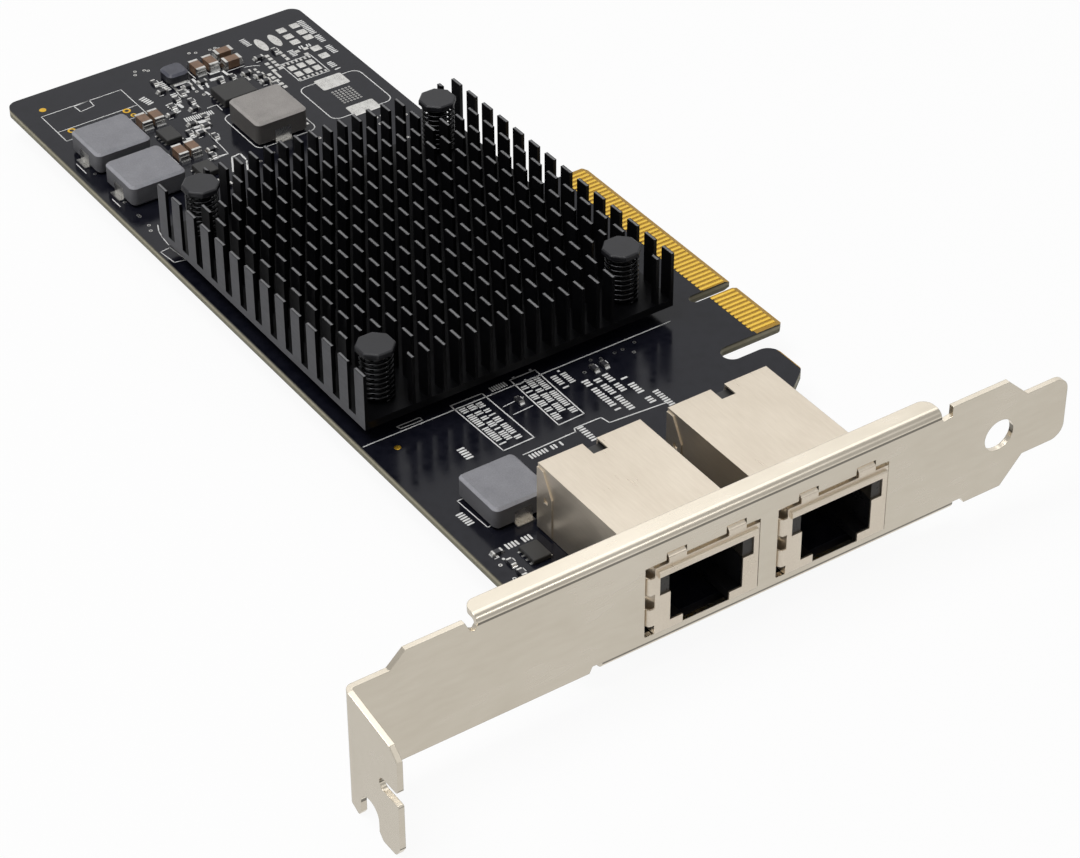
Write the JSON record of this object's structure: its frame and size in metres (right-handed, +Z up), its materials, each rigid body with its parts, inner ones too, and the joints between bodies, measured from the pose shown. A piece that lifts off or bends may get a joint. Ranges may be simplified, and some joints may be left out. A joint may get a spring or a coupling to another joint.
{
  "type": "network interface card",
  "caption": "Dual-port copper network card with a cross-cut pin-fin heat sink on sprung push pins, a keyed card-edge connector and a folded slot bracket",
  "frame": {"origin": "middle of the key notch at the tip of the card-edge connector, on the board's component side", "axes": "+X along the card to the bracket's outer side, +Y out of the card-edge connector's tip, +Z up from the component side"},
  "size_m": [0.1816, 0.12, 0.0224],
  "materials": {
    "laminate": "satin black solder mask",
    "gold": "plated gold",
    "black_anodised": "black anodised, satin",
    "pin_plastic": "satin dark grey",
    "spring_steel": "bright drawn wire",
    "moulded_ferrite": "matte grey moulded powder",
    "brown_ferrite": "matte warm grey moulded powder",
    "tin": "tinned, satin",
    "black_ferrite": "matte black",
    "chip_black": "matte moulding compound",
    "brown_ceramic": "satin brown",
    "resistor_black": "satin",
    "jack_nickel": "bright warm nickel",
    "jack_black": "moulded black",
    "jack_potting": "black epoxy",
    "light_guide": "milky translucent",
    "bracket_nickel": "satin warm nickel plate",
    "package_laminate": "satin green",
    "lid_metal": "satin nickel",
    "pad_grey": "soft matte",
    "screw_steel": "zinc plated"
  },
  "bodies": {
    "root": {"circuit_board": "laminate", "edge_contacts": "gold", "heat_sink": "black_anodised", "push_pins": "pin_plastic", "push_pin_springs": "spring_steel", "power_inductor_1": "moulded_ferrite", "power_inductor_2": "moulded_ferrite", "power_inductor_3": "moulded_ferrite", "power_inductor_terminals": "tin", "input_inductor": "brown_ferrite", "input_inductor_terminals": "tin", "small_inductor": "black_ferrite", "small_inductor_terminals": "tin", "power_chip": "chip_black", "regulator_chip_1": "chip_black", "regulator_chip_2": "chip_black", "memory_chip": "chip_black", "chip_leads": "tin", "brown_capacitors": "brown_ceramic", "capacitor_ends": "tin", "small_resistors": "resistor_black", "resistor_ends": "tin", "bypass_capacitors": "brown_ceramic", "bypass_capacitor_ends": "tin", "controller_substrate": "package_laminate", "controller_lid": "lid_metal", "thermal_pad": "pad_grey", "clock_crystal": "lid_metal", "bracket": "bracket_nickel", "bracket_screws": "screw_steel", "jack_1_shield": "jack_nickel", "jack_1_housing": "jack_black", "jack_1_contacts": "gold", "jack_1_light_guides": "light_guide", "jack_1_magnetics": "jack_potting", "jack_1_pins": "tin", "jack_2_shield": "jack_nickel", "jack_2_housing": "jack_black", "jack_2_contacts": "gold", "jack_2_light_guides": "light_guide", "jack_2_magnetics": "jack_potting", "jack_2_pins": "tin"}
  },
  "joints": []
}
